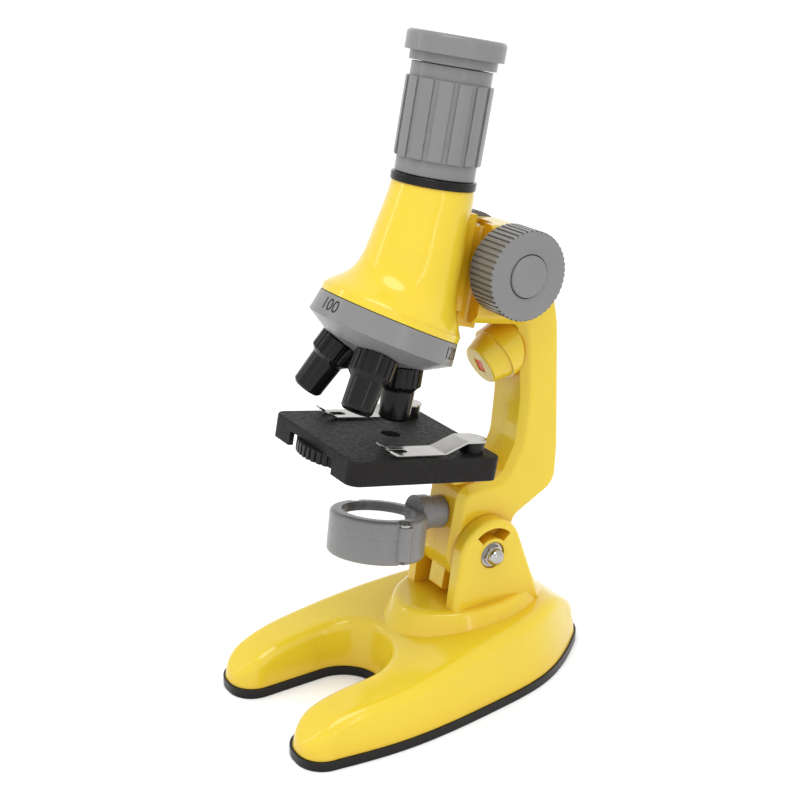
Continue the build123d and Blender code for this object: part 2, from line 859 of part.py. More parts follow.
def clip_post(x):
    with BuildPart() as post:
        with BuildSketch(lifted(0.05)):
            with Locations((x, clip_y)):
                Circle(3.9)
        extrude(amount=post_height - 0.05)
        with BuildSketch(lifted(0.05)):
            with Locations((x, clip_y)):
                Circle(1.5)
        extrude(amount=-stage_thickness - 1.2)
        with BuildSketch(lifted(-stage_thickness - 0.15)):
            with Locations((x, clip_y)):
                Circle(2.6)
        extrude(amount=-1)
    return post


write("clip_right", clip(clip_x))
write("clip_left", clip(-clip_x))
write("clip_post_right", clip_post(clip_x))
write("clip_post_left", clip_post(-clip_x))


# ---------------------------------------------------------------- tube column


def leaning_plane(y, z, extra):
    """Plane at a point of the side view, leaning back by extra degrees more than the tube."""
    angle = radians(lean + extra)
    return Plane(
        side.from_local_coords(Vector(y, z, 0)),
        x_dir=(1, 0, 0),
        z_dir=(0, sin(angle), cos(angle)),
    )


turret = leaning_plane(-rim_ahead, rim_height, turret_lean)
lip = 2.6  # thickness of the tube's lower rim
tilt_s, tilt_c = sin(radians(turret_lean)), cos(radians(turret_lean))
# Stations down the flaring tube: distance behind the light path, height, extra lean, radius
flare = [
    (0, tube_top, 0, 13.2),
    (-0.7, 75, 1, 14.1),
    (-1.7, 66, 3, 15.2),
    (-2.8, 57.5, 6.5, 16.2),
    (-4.1, 52, 10, 17.4),
    (-5.4, 48.2, 13, 19.3),
    (-rim_ahead + lip * tilt_s, rim_height + lip * tilt_c, turret_lean, rim_radius - 0.3),
]


def flared_tube(skin, stations):
    with BuildPart() as flared:
        for y, z, extra, radius in stations:
            with BuildSketch(leaning_plane(y, z, extra)):
                Circle(radius - skin)
        loft()
    return flared.part


rail_screw_spots = [(0, -70), (0, -46)]


def rail_plane(y):
    """Plane facing the back at a distance behind the light path; its local y runs down the tube."""
    return Plane(across(y, 0).origin, x_dir=(1, 0, 0), z_dir=(0, c, -s))


light_offset = (apex_height - 1) * tan(radians(turret_lean))
with BuildPart() as tube_body:
    add(flared_tube(0, flare))
    add(disc(turret.offset(0.25), rim_radius, lip - 0.25))
    with BuildSketch(lifted(44)):
        with Locations((0, 11.8)):
            Rectangle(11.2, 7.4)
    extrude(amount=32)
    add(flared_tube(2.2, flare[1:]), mode=Mode.SUBTRACT)
    add(disc(lifted(74), 10.7, 12), mode=Mode.SUBTRACT)
    # Floor over the turret with the light hole and a boss for the turret's pivot screw
    add(disc(turret.offset(0.25), rim_radius - 0.6, 2.2))
    add(disc(turret.offset(2), 3, 5))
    with BuildSketch(turret.offset(0)):
        with Locations((0, light_offset)):
            Circle(3.6)
    extrude(amount=4, mode=Mode.SUBTRACT)
    add(disc(turret.offset(-1), 1.3, 8), mode=Mode.SUBTRACT)
    # Seat and screw holes for the focus rail
    add(
        extrude(rail_section(0, 15.5, rail_face), amount=34, mode=Mode.PRIVATE),
        mode=Mode.SUBTRACT,
    )
    with BuildSketch(rail_plane(8)):
        with Locations(*rail_screw_spots):
            Circle(1.2)
    extrude(amount=10, mode=Mode.SUBTRACT)
write("tube_body", tube_body)

with BuildPart() as tube_ring:
    add(disc(lifted(tube_top), 13.8, collar_top - tube_top, 10.7))
    outer = tube_ring.edges().filter_by(GeomType.CIRCLE).filter_by(lambda e: e.radius > 13)
    fillet(outer, radius=0.4)
write("tube_ring", tube_ring)

with BuildPart() as draw_sleeve:
    add(disc(lifted(74), 10.7, 43, 9.9))
write("draw_sleeve", draw_sleeve)

rack_pitch = pi * module
with BuildPart() as focus_rail:
    add(extrude(rail_section(0, 15.5, rail_face), amount=rail_top - rail_bottom, mode=Mode.PRIVATE))
    with BuildSketch(side):
        for tooth in range(-6, 3):
            middle = knob_z + (tooth + 0.5) * rack_pitch
            with BuildLine():
                Polyline(
                    (rail_face - 0.5, middle - 0.9),
                    (rail_face - 0.5, middle + 0.9),
                    (rail_face, middle + 0.9),
                    (rail_face + 1.5, middle + 0.36),
                    (rail_face + 1.5, middle - 0.36),
                    (rail_face, middle - 0.9),
                    (rail_face - 0.5, middle - 0.9),
                )
            make_face()
    extrude(amount=3, both=True)
    with BuildSketch(rail_plane(15)):
        with Locations(*rail_screw_spots):
            Circle(1.2)
    extrude(amount=10, mode=Mode.SUBTRACT)
    with BuildSketch(rail_plane(rail_face - 2)):
        with Locations(*rail_screw_spots):
            Circle(2.4)
    extrude(amount=5, mode=Mode.SUBTRACT)
write("focus_rail", focus_rail)

with BuildPart() as rail_screws:
    with BuildSketch(rail_plane(rail_face - 2)):
        with Locations(*rail_screw_spots):
            Circle(2.2)
    extrude(amount=1.2)
    with BuildSketch(rail_plane(rail_face - 1.2)):
        with Locations(*rail_screw_spots):
            Rectangle(3, 0.6)
            Rectangle(0.6, 3)
    extrude(amount=1, mode=Mode.SUBTRACT)
    with BuildSketch(rail_plane(rail_face - 2)):
        with Locations(*rail_screw_spots):
            Circle(1.2)
    extrude(amount=-8)
write("rail_screws", rail_screws)

flute_count = 14
with BuildPart() as zoom_barrel:
    add(disc(lifted(barrel_bottom), 12.9, barrel_top - barrel_bottom))
    add(disc(lifted(91.4), 14, 24.6))
    flute_rims = zoom_barrel.edges().filter_by(GeomType.CIRCLE)
    fillet(flute_rims.filter_by(lambda e: e.radius > 13.5), radius=0.4)
    with BuildSketch(lifted(91.4)):
        with PolarLocations(14.1, flute_count):
            Rectangle(1.2, 1.9)
    extrude(amount=24.6, mode=Mode.SUBTRACT)
    add(disc(lifted(barrel_bottom), 10.7 + shaft_clearance, 40), mode=Mode.SUBTRACT)
write("zoom_barrel", zoom_barrel)

with BuildPart() as eyepiece_body:
    with BuildSketch(side):
        with BuildLine():
            Polyline(
                (0, 98),
                (9.8, 98),
                (9.8, eyepiece_bottom),
                (13.9, eyepiece_bottom),
                (13.9, flange_bottom),
                (15.75, flange_bottom),
                (15.75, column_top - 1.4),
            )
            ThreePointArc(
                (15.75, column_top - 1.4), (15.3, column_top - 0.5), (14.3, column_top - 0.1)
            )
            ThreePointArc((14.3, column_top - 0.1), (10.6, column_top - 0.5), (7, column_top - 2))
            Line((7, column_top - 2), (0, column_top - 2))
            Line((0, column_top - 2), (0, 98))
        make_face()
    revolve(axis=Axis(optic.origin, optic.z_dir))
    add(disc(lifted(97), 8.6, 24), mode=Mode.SUBTRACT)
    add(disc(lifted(121), 7, 10), mode=Mode.SUBTRACT)
write("eyepiece_body", eyepiece_body)


def lens(z, radius, edge, bulge):
    """Biconvex lens centred on the light path."""
    with BuildPart() as glass:
        with BuildSketch(side):
            with BuildLine():
                SagittaArc((radius, z + edge / 2), (-radius, z + edge / 2), -bulge)
                Line((-radius, z + edge / 2), (-radius, z - edge / 2))
                SagittaArc((-radius, z - edge / 2), (radius, z - edge / 2), -bulge)
                Line((radius, z - edge / 2), (radius, z + edge / 2))
            make_face()
            with Locations((-radius, z)):
                Rectangle(2 * radius, 3 * radius, mode=Mode.SUBTRACT)
        revolve(axis=Axis(optic.origin, optic.z_dir))
    return glass


write("eye_lens", lens(119.7, 8.6, 1.4, 1.1))
write("field_lens", lens(102, 8.6, 1.4, 0.9))

with BuildPart() as lens_spacer:
    add(disc(lifted(103), 8.6, 15.7, 7.6))
write("lens_spacer", lens_spacer)

with BuildPart() as lens_retainer:
    add(disc(lifted(99.5), 8.6, 1.5, 7.2))
write("lens_retainer", lens_retainer)

# ---------------------------------------------------------------- turret

underside_slope = tan(radians(turret_lean))
seat_radius = objective_shoulder * sin(radians(turret_lean))
seat_depth = apex_height - objective_shoulder * cos(radians(turret_lean))
skirt_radius = 17.6  # where the steep skirt below the band meets the objectives' seats
hub_radius = 4
bore_radius = 4.2


def objective_plane(bearing):
    """Shoulder plane of one objective: z points up its axis to where all three meet."""
    a, b = radians(turret_lean), radians(bearing)
    down = Vector(sin(a) * sin(b), sin(a) * cos(b), -cos(a))
    apex = Vector(0, 0, apex_height)
    shoulder = turret.from_local_coords(apex + down * objective_shoulder)
    return Plane(
        shoulder,
        x_dir=turret.from_local_coords(Vector(cos(b), -sin(b), 0)) - turret.origin,
        z_dir=turret.from_local_coords(apex) - shoulder,
    )


bearings = [k * 360 / objective_count for k in range(objective_count)]

with BuildPart() as turret_ring:
    band_foot = -turret_band
    with BuildSketch(Plane(turret.origin, x_dir=turret.y_dir, z_dir=(1, 0, 0))):
        with BuildLine():
            Polyline(
                (0, 0),
                (rim_radius, 0),
                (turret_radius, band_foot),
                (skirt_radius, seat_depth + (skirt_radius - seat_radius) * underside_slope),
                (hub_radius, seat_depth - (seat_radius - hub_radius) * underside_slope),
                (0, seat_depth - (seat_radius - hub_radius) * underside_slope),
                (0, 0),
            )
        make_face()
    revolve(axis=Axis(turret.origin, turret.z_dir))
    # Hollow upper side with a hub round the pivot screw
    add(disc(turret.offset(-7.6), rim_radius - 2.4, 9, 4.6), mode=Mode.SUBTRACT)
    add(disc(turret.offset(-20), 1.3 + shaft_clearance, 30), mode=Mode.SUBTRACT)
    add(disc(turret.offset(-20), 3.2, 6.6), mode=Mode.SUBTRACT)
    for bearing in bearings:
        add(disc(objective_plane(bearing).offset(-4), bore_radius, 12), mode=Mode.SUBTRACT)
        add(disc(objective_plane(bearing).offset(-6), 7.5, 6), mode=Mode.SUBTRACT)
write("turret_ring", turret_ring)

with BuildPart() as turret_washer:
    add(disc(turret.offset(-13.9), 2.9, 0.5, 1.3))
write("turret_washer", turret_washer)

with BuildPart() as turret_screw:
    add(disc(turret.offset(-16), 2.6, 2.1))
    dome = turret_screw.edges().sort_by(Axis(turret.origin, turret.z_dir))[0]
    fillet(dome, radius=0.8)
    add(disc(turret.offset(-13.9), 1.3, 19.4))
write("turret_screw", turret_screw)


def objective(bearing, length):
    seat = objective_plane(bearing)
    with BuildPart() as barrel:
        with BuildSketch(Plane(seat.origin, x_dir=seat.x_dir, z_dir=seat.y_dir)):
            with BuildLine():
                Polyline(
                    (3.4, -5),
                    (bore_radius, -5),
                    (bore_radius, 0),
                    (7.25, 0),
                    (7.25, 6.4),
                    (5.8, 8),
                    (5.6, 8.6),
                    (5.25, length - 0.8),
                    (4.6, length),
                    (2.2, length),
                    (2.2, length - 1.2),
                    (3.4, length - 2.4),
                    (3.4, -5),
                )
            make_face()
        revolve(axis=Axis(seat.origin, seat.z_dir))
        with BuildSketch(seat.offset(0.1)):
            with PolarLocations(7.4, 18):
                Rectangle(0.9, 0.9)
        extrude(amount=-7, mode=Mode.SUBTRACT)
    return barrel


objective_names = ["objective_rear", "objective_right", "objective_left"]
for name, bearing, length in zip(objective_names, bearings, objective_lengths):
    write(name, objective(bearing, length))

with BuildPart() as objective_lenses:
    for bearing, length in zip(bearings, objective_lengths):
        seat = objective_plane(bearing)
        add(disc(seat.offset(-length + 2.4), 3.4, 1.6))
write("objective_lenses", objective_lenses)

# ---------------------------------------------------------------- focus drive

knob_radius = 14.9
knob_inner = 10.6
knob_outer = 22.8
knob_grooves = 48
knob_axis = Axis(side.from_local_coords(Vector(knob_y, knob_z, 0)), (1, 0, 0))

knob_centre = Plane(
    side.from_local_coords(Vector(knob_y, knob_z, 0)), x_dir=side.x_dir, z_dir=(1, 0, 0)
)
with BuildPart() as focus_shaft:
    add(along_axis(knob_y, knob_z, shaft_radius, knob_outer - 3.4))
    with BuildSketch(knob_centre):
        Circle(3.5)
        with PolarLocations(0, pinion_teeth):
            Polygon(
                (-3.2, -0.85),
                (-3.5, -0.78),
                (-4.5, -0.5),
                (-5.3, -0.22),
                (-5.3, 0.22),
                (-4.5, 0.5),
                (-3.5, 0.78),
                (-3.2, 0.85),
                align=None,
            )
    extrude(amount=3.4, both=True)
write("focus_shaft", focus_shaft)


def focus_knob(way):
    """Knurled knob; way is 1 on the right-hand side and -1 on the left."""
    thickness = knob_outer - knob_inner
    face = Plane(knob_centre.origin, x_dir=side.x_dir, z_dir=(way, 0, 0))
    with BuildPart() as knob:
        with BuildSketch(face.offset(knob_inner)):
            Circle(knob_radius)
        extrude(amount=thickness)
        rims = knob.edges().filter_by(GeomType.CIRCLE)
        fillet(rims, radius=0.35)
        with BuildSketch(face.offset(knob_inner)):
            with PolarLocations(knob_radius + 0.1, knob_grooves):
                Rectangle(1.1, 0.75)
        extrude(amount=thickness, mode=Mode.SUBTRACT)
        with BuildSketch(face.offset(knob_inner)):
            Circle(knob_radius - 2)
            Circle(4.2, mode=Mode.SUBTRACT)
        extrude(amount=thickness - 3, mode=Mode.SUBTRACT)
        with BuildSketch(face.offset(knob_inner - 1)):
            Circle(shaft_radius)
        extrude(amount=thickness - 2.4, mode=Mode.SUBTRACT)
        with BuildSketch(face.offset(knob_outer)):
            Circle(7.3)
        extrude(amount=-1.6, mode=Mode.SUBTRACT)
    return knob


def knob_cap(way):
    """Domed cap in the middle of a knob."""
    face = Plane(knob_centre.origin, x_dir=side.x_dir, z_dir=(way, 0, 0))
    with BuildPart() as cap:
        with BuildSketch(face.offset(knob_outer - 1.6)):
            Circle(7)
        extrude(amount=2.4)
        fillet(cap.edges().filter_by(GeomType.CIRCLE).sort_by(Axis.X)[-1 if way == 1 else 0], radius=0.7)
    return cap


write("knob_right", focus_knob(1))
write("knob_left", focus_knob(-1))
write("knob_cap_right", knob_cap(1))
write("knob_cap_left", knob_cap(-1))

# ---------------------------------------------------------------- mirror and lamp unit

roll = radians(mirror_roll)
unit_centre = side.from_local_coords(Vector(mirror_ahead, -mirror_drop, 0))
unit_x = Vector(cos(roll), 0, 0) + optic.z_dir * sin(roll)
mirror_unit = Plane(unit_centre, x_dir=unit_x, z_dir=unit_x.cross(optic.y_dir))
unit_top = 1.6  # rim above the mirror glass
unit_seam = -4.6
unit_bottom = -13.3
lug_x = 15.9
ring_edge = 1.5
lug_drop = 2  # lugs end above the bottom of the ring
saddle_radius = 6.2
stub = Plane(unit_centre, x_dir=unit_x, z_dir=optic.y_dir)
stub_length = nose_face - 0.4 - mirror_ahead


def lugs(bottom, top):
    """Pair of screw lugs on opposite sides of the ring."""
    with BuildPart() as pair:
        with BuildSketch(mirror_unit.offset(bottom)):
            with Locations((lug_x, 0), (-lug_x, 0)):
                Circle(2.8)
            with Locations((lug_x - 1.4, 0), (1.4 - lug_x, 0)):
                Rectangle(2.8, 5.6)
        extrude(amount=top - bottom)
    return pair.part


def lug_holes():
    """Screw holes through both lugs, widened above them for the heads."""
    with BuildPart() as holes:
        with BuildSketch(mirror_unit.offset(unit_bottom - 1)):
            with Locations((lug_x, 0), (-lug_x, 0)):
                Circle(1.2)
        extrude(amount=unit_top - unit_bottom)
        with BuildSketch(mirror_unit.offset(unit_top - 1.6)):
            with Locations((lug_x, 0), (-lug_x, 0)):
                Circle(2.1)
        extrude(amount=4)
    return holes.part


with BuildPart() as mirror_ring_upper:
    add(disc(mirror_unit.offset(unit_seam), ring_radius, unit_top - unit_seam))
    rim = mirror_ring_upper.edges().filter_by(GeomType.CIRCLE)
    fillet(rim.sort_by(Axis(mirror_unit.origin, mirror_unit.z_dir))[-1], radius=ring_edge)
    add(lugs(unit_seam, unit_top - 1.6))
    add(disc(mirror_unit.offset(-20), 12.7, 40), mode=Mode.SUBTRACT)
    add(disc(mirror_unit.offset(-20), 13.4, 20), mode=Mode.SUBTRACT)
    add(disc(mirror_unit.offset(-20), 14.2, 20 - 1.2), mode=Mode.SUBTRACT)
    # Saddle and upper half of the socket for the spindle
    add(disc(stub.offset(14.6), saddle_radius, 4.4))
    add(disc(mirror_unit.offset(-20), 14.2, 20 - 1.2), mode=Mode.SUBTRACT)
    add(disc(stub.offset(14.6), 4, 6), mode=Mode.SUBTRACT)
    with BuildSketch(mirror_unit.offset(unit_seam)):
        Circle(30)
    extrude(amount=-10, mode=Mode.SUBTRACT)
    add(lug_holes(), mode=Mode.SUBTRACT)
write("mirror_ring_upper", mirror_ring_upper)

with BuildPart() as mirror_ring_lower:
    add(disc(mirror_unit.offset(unit_bottom), ring_radius, unit_seam - unit_bottom))
    rim = mirror_ring_lower.edges().filter_by(GeomType.CIRCLE)
    fillet(rim.sort_by(Axis(mirror_unit.origin, mirror_unit.z_dir))[0], radius=ring_edge)
    add(lugs(unit_bottom + lug_drop, unit_seam))
    add(disc(mirror_unit.offset(-20), 11.6, 40), mode=Mode.SUBTRACT)
    add(disc(mirror_unit.offset(unit_bottom + 1.4), 14.2, 20), mode=Mode.SUBTRACT)
    add(disc(stub.offset(14.6), saddle_radius, 4.4))
    add(disc(mirror_unit.offset(unit_bottom + 1.4), 14.2, 20), mode=Mode.SUBTRACT)
    add(disc(stub.offset(14.6), 4, 6), mode=Mode.SUBTRACT)
    with BuildSketch(mirror_unit.offset(unit_seam)):
        Circle(30)
    extrude(amount=12, mode=Mode.SUBTRACT)
    add(lug_holes(), mode=Mode.SUBTRACT)
write("mirror_ring_lower", mirror_ring_lower)

with BuildPart() as mirror_glass:
    add(disc(mirror_unit.offset(-1.2), 13.3, 1.2))
write("mirror_glass", mirror_glass)

with BuildPart() as lamp_board:
    add(disc(mirror_unit.offset(-5.2), 13.9, 4, 11.8))
    add(disc(mirror_unit.offset(-5.2), 13.9, 1.4))
write("lamp_board", lamp_board)

with BuildPart() as stage_led:
    add(disc(mirror_unit.offset(-5.2), 2.5, -2.6))
    fillet(stage_led.edges().sort_by(Axis(mirror_unit.origin, mirror_unit.z_dir))[0], radius=1.6)
write("stage_led", stage_led)

with BuildPart() as lamp_diffuser:
    add(disc(mirror_unit.offset(unit_bottom + 0.4), 11.6, 1))
    add(disc(mirror_unit.offset(unit_bottom + 1.4), 13.8, 0.8))
write("lamp_diffuser", lamp_diffuser)

with BuildPart() as ring_screws:
    with BuildSketch(mirror_unit.offset(unit_bottom + lug_drop + 1.2)):
        with Locations((lug_x, 0), (-lug_x, 0)):
            Circle(1.2)
    extrude(amount=unit_top - 1.6 - unit_bottom - lug_drop - 1.2 - 0.1)
    with BuildSketch(mirror_unit.offset(unit_top - 1.6)):
        with Locations((lug_x, 0), (-lug_x, 0)):
            Circle(2)
            Rectangle(2.6, 0.6, mode=Mode.SUBTRACT)
            Rectangle(0.6, 2.6, mode=Mode.SUBTRACT)
    extrude(amount=0.7)
    with BuildSketch(mirror_unit.offset(unit_top - 1.7)):
        with Locations((lug_x, 0), (-lug_x, 0)):
            Circle(1.2)
    extrude(amount=0.1)
write("ring_screws", ring_screws)

with BuildPart() as mirror_spindle:
    add(disc(stub.offset(14.6), 4, stub_length - 14.6))
    add(disc(stub.offset(19.2), 5.7, stub_length - 19.2))
    add(disc(stub.offset(stub_length), spindle_radius, 9.4))
write("mirror_spindle", mirror_spindle)

with BuildPart() as spindle_clip:
    add(disc(spindle.offset(6.9), 4.6, 1, spindle_radius))
write("spindle_clip", spindle_clip)
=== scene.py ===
import json
from math import cos, radians, sin

import bmesh
import bpy
from mathutils import Matrix, Vector


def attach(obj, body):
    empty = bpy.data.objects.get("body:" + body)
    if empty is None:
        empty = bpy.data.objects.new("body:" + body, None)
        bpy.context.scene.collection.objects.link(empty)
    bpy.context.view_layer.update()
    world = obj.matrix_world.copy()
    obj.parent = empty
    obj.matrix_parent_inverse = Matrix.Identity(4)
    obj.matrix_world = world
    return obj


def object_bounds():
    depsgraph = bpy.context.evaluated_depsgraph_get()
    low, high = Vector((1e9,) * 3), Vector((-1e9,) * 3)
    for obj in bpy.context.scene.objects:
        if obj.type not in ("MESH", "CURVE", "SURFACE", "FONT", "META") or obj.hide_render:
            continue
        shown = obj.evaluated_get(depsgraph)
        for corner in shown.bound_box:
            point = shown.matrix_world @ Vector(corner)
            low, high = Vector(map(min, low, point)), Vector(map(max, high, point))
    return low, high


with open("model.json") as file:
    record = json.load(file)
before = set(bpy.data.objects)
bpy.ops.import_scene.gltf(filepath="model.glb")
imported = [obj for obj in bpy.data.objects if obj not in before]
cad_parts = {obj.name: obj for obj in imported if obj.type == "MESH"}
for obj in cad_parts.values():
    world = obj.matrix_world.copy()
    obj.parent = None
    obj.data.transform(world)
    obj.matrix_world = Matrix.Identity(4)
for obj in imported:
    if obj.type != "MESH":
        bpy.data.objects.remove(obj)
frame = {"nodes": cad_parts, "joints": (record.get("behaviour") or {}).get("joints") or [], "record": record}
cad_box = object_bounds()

MM = 0.001
GLASS_IOR = 1.5
PLASTIC_IOR = 1.53
DEEP_LIGHT = (1.0, 0.55, 0.12)  # red light spreads furthest inside the plastic, blue least
scene = bpy.context.scene
nodes = frame["nodes"]
joints = {joint["name"]: joint for joint in frame["joints"]}


# ---------------------------------------------------------------- node helpers


class Shader:
    """A material's node tree, with short calls for the nodes that the plastics share."""

    def __init__(self, name):
        self.material = bpy.data.materials.new(name)
        self.material.use_nodes = True
        self.tree = self.material.node_tree
        self.surface = self.tree.nodes["Principled BSDF"]
        self.place = self.tree.nodes.new("ShaderNodeTexCoord").outputs["Object"]

    def add(self, kind, links=None, **values):
        """New node: values set its attributes or sockets, links join outputs to its inputs."""
        node = self.tree.nodes.new("ShaderNode" + kind)
        for key, value in values.items():
            if key in node.inputs:
                node.inputs[key].default_value = value
            else:
                setattr(node, key, value)
        for key, output in (links or {}).items():
            self.tree.links.new(output, node.inputs[key])
        return node

    def set(self, **values):
        """Sets the surface's own sockets, with _ in their names for a space."""
        for key, value in values.items():
            self.surface.inputs[key.replace("_", " ")].default_value = value

    def join(self, socket, output):
        """Links an output to one of the surface's sockets."""
        self.tree.links.new(output, self.surface.inputs[socket])

    def noise(self, size, detail=2.0, rough=0.5, stretch=None):
        """Soft noise from 0 to 1 whose patches are about size metres across."""
        place = self.place
        if stretch:
            scaled = self.add("Mapping", {"Vector": place})
            scaled.inputs["Scale"].default_value = stretch
            place = scaled.outputs["Vector"]
        made = self.add("TexNoise", {"Vector": place}, Scale=1 / size, Detail=detail,
                        Roughness=rough)
        return made.outputs["Fac"]

    def between(self, factor, low, high, at=(0.0, 1.0)):
        """Number that runs from low to high as factor runs over the range at."""
        made = self.add("MapRange", {"Value": factor})
        for key, value in zip(("From Min", "From Max", "To Min", "To Max"), (*at, low, high)):
            made.inputs[key].default_value = value
        return made.outputs["Result"]

    def blend(self, factor, first, second):
        """Colour between two colours, each a tuple or an output."""
        made = self.add("Mix", data_type="RGBA")
        for socket, colour in ((6, first), (7, second)):
            if isinstance(colour, tuple):
                made.inputs[socket].default_value = (*colour, 1)
            else:
                self.tree.links.new(colour, made.inputs[socket])
        self.tree.links.new(factor, made.inputs[0])
        return made.outputs[2]

    def math(self, operation, first, second):
        """Result of a Math node on two numbers, each a value or an output."""
        made = self.add("Math", operation=operation)
        for socket, value in ((0, first), (1, second)):
            if isinstance(value, (int, float)):
                made.inputs[socket].default_value = value
            else:
                self.tree.links.new(value, made.inputs[socket])
        return made.outputs[0]


def rounded_normal(shader, radius):
    """Surface direction that runs round sharp edges, as on a moulded part."""
    return shader.add("Bevel", samples=4, Radius=radius).outputs["Normal"]


def edge_mask(shader, radius):
    """1 along sharp edges, 0 on open faces."""
    soft = rounded_normal(shader, radius)
    flat = shader.add("NewGeometry").outputs["Normal"]
    facing = shader.add("VectorMath", {0: soft, 1: flat}, operation="DOT_PRODUCT")
    return shader.between(facing.outputs["Value"], 1.0, 0.0, at=(0.86, 0.995))


def corner_shade_mask(shader, reach):
    """Painted shade: 1 deep in corners and recesses, 0 in the open."""
    hidden = shader.add("AmbientOcclusion", samples=6, Distance=reach)
    return shader.between(hidden.outputs["AO"], 1.0, 0.0, at=(0.25, 0.95))


def bumped(shader, height, depth, normal):
    """Surface direction with a relief of that depth in metres on top of normal."""
    made = shader.add("Bump", {"Height": height, "Normal": normal}, Strength=1.0, Distance=depth)
    return made.outputs["Normal"]


# ---------------------------------------------------------------- materials


def moulded(name, colour, shade, worn, roughness, corner=0.3 * MM, reach=12 * MM, coat=0.0,
            glow=0.0, shine=0.5):
    """Injection-moulded plastic: a fine skin, faint flow marks, painted shade in the corners."""
    shader = Shader(name)
    flow = shader.noise(30 * MM, detail=3.0)
    corner_shade = corner_shade_mask(shader, reach)
    edge = edge_mask(shader, corner * 2)
    pale = tuple(min(1.0, channel * 1.05) for channel in colour)
    body = shader.blend(shader.between(flow, 0.0, 1.0, at=(0.35, 0.65)), colour, pale)
    # painted shade: the colour turns to the shade colour deep in corners and recesses
    body = shader.blend(corner_shade, body, shade)
    scuff = shader.between(shader.noise(2.5 * MM, detail=4.0), 0.0, 1.0, at=(0.45, 0.75))
    wear = shader.math("MULTIPLY", shader.math("MULTIPLY", edge, scuff), 0.5)
    shader.join("Base Color", shader.blend(wear, body, worn))
    smear = shader.noise(12 * MM, detail=4.0, rough=0.6)
    rough = shader.between(smear, roughness - 0.04, roughness + 0.07, at=(0.3, 0.7))
    shader.join("Roughness", shader.math("ADD", rough, shader.math("MULTIPLY", edge, 0.08)))
    skin = shader.noise(0.4 * MM, detail=3.0, rough=0.6)
    shader.join("Normal", bumped(shader, skin, 0.004 * MM, rounded_normal(shader, corner)))
    shader.set(IOR=PLASTIC_IOR, Specular_IOR_Level=shine)
    if coat:
        shader.set(Coat_Weight=coat, Coat_Roughness=0.06)
    if glow:
        shader.set(Subsurface_Weight=glow, Subsurface_Scale=3 * MM)
        shader.set(Subsurface_Radius=DEEP_LIGHT)
    return shader.material


def stippled_black(name, top):
    """Satin black whose faces towards top have the spark-eroded texture of a moulded stage, with a painted
    highlight along its edges.
    """
    shader = Shader(name)
    normal = shader.add("TexCoord").outputs["Normal"]
    facing = shader.add("VectorMath", {0: normal}, operation="DOT_PRODUCT")
    facing.inputs[1].default_value = top
    textured = shader.between(facing.outputs["Value"], 0.06, 1.0, at=(0.8, 0.95))
    fine = shader.noise(0.9 * MM, detail=2.0, rough=0.6)
    coarse = shader.noise(1.6 * MM, detail=2.0, rough=0.5)
    height = shader.math("ADD", shader.between(fine, 0.0, 1.0, at=(0.35, 0.65)),
                         shader.between(coarse, 0.0, 0.25, at=(0.3, 0.7)))
    height = shader.math("MULTIPLY", height, textured)
    edge = edge_mask(shader, 0.6 * MM)
    body = shader.blend(fine, (0.006, 0.0055, 0.0052), (0.017, 0.0155, 0.0148))
    # painted highlight: the colour turns grey along sharp edges
    body = shader.blend(shader.math("MULTIPLY", edge, 0.35), body, (0.07, 0.068, 0.066))
    shader.join("Base Color", body)
    shader.join("Roughness", shader.between(coarse, 0.42, 0.58, at=(0.3, 0.7)))
    shader.join("Normal", bumped(shader, height, 0.2 * MM, rounded_normal(shader, 0.4 * MM)))
    shader.set(Specular_IOR_Level=0.12)
    return shader.material


def plated(name, colour, roughness=0.1):
    """Chrome or nickel plating with fine rolling marks, a few dull patches and a painted highlight along its
    edges.
    """
    shader = Shader(name)
    haze = shader.noise(6 * MM, detail=4.0)
    lines = shader.noise(0.6 * MM, detail=2.0, stretch=(6.0, 0.6, 6.0))
    edge = edge_mask(shader, 0.3 * MM)
    body = shader.blend(haze, colour, tuple(channel * 0.9 for channel in colour))
    # painted highlight: the colour turns pale along sharp edges
    body = shader.blend(shader.math("MULTIPLY", edge, 0.5), body, (0.95, 0.94, 0.93))
    shader.join("Base Color", body)
    shader.join("Roughness", shader.between(haze, roughness, roughness + 0.12, at=(0.3, 0.7)))
    shader.join("Normal", bumped(shader, lines, 0.004 * MM, rounded_normal(shader, 0.2 * MM)))
    shader.set(Metallic=1.0)
    return shader.material


def clear(name, colour):
    """Clear glass with faint dust."""
    shader = Shader(name)
    dust = shader.noise(0.9 * MM, detail=5.0, rough=0.7)
    dusty = shader.between(dust, 0.0, 0.25, at=(0.6, 0.8))
    shader.join("Base Color", shader.blend(dusty, colour, (0.9, 0.9, 0.9)))
    shader.join("Roughness", shader.between(dust, 0.02, 0.1, at=(0.5, 0.8)))
    shader.set(Transmission_Weight=0.9, IOR=GLASS_IOR)
    return shader.material


def silvered(name):
    """Mirror glass with faint dust."""
    shader = Shader(name)
    dust = shader.noise(1.2 * MM, detail=5.0, rough=0.7)
    shader.join("Base Color", shader.blend(dust, (0.95, 0.96, 0.97), (0.88, 0.9, 0.91)))
    shader.join("Roughness", shader.between(dust, 0.015, 0.07, at=(0.5, 0.8)))
    shader.set(Metallic=1.0)
    return shader.material


def rubbery(name):
    """Black foam with fine open cells."""
    shader = Shader(name)
    cells = shader.noise(0.5 * MM, detail=4.0, rough=0.7)
    shader.join("Base Color", shader.blend(cells, (0.012, 0.012, 0.012), (0.035, 0.034, 0.033)))
    shader.join("Roughness", shader.between(cells, 0.7, 0.92))
    shader.join("Normal", bumped(shader, cells, 0.08 * MM, rounded_normal(shader, 0.3 * MM)))
    return shader.material


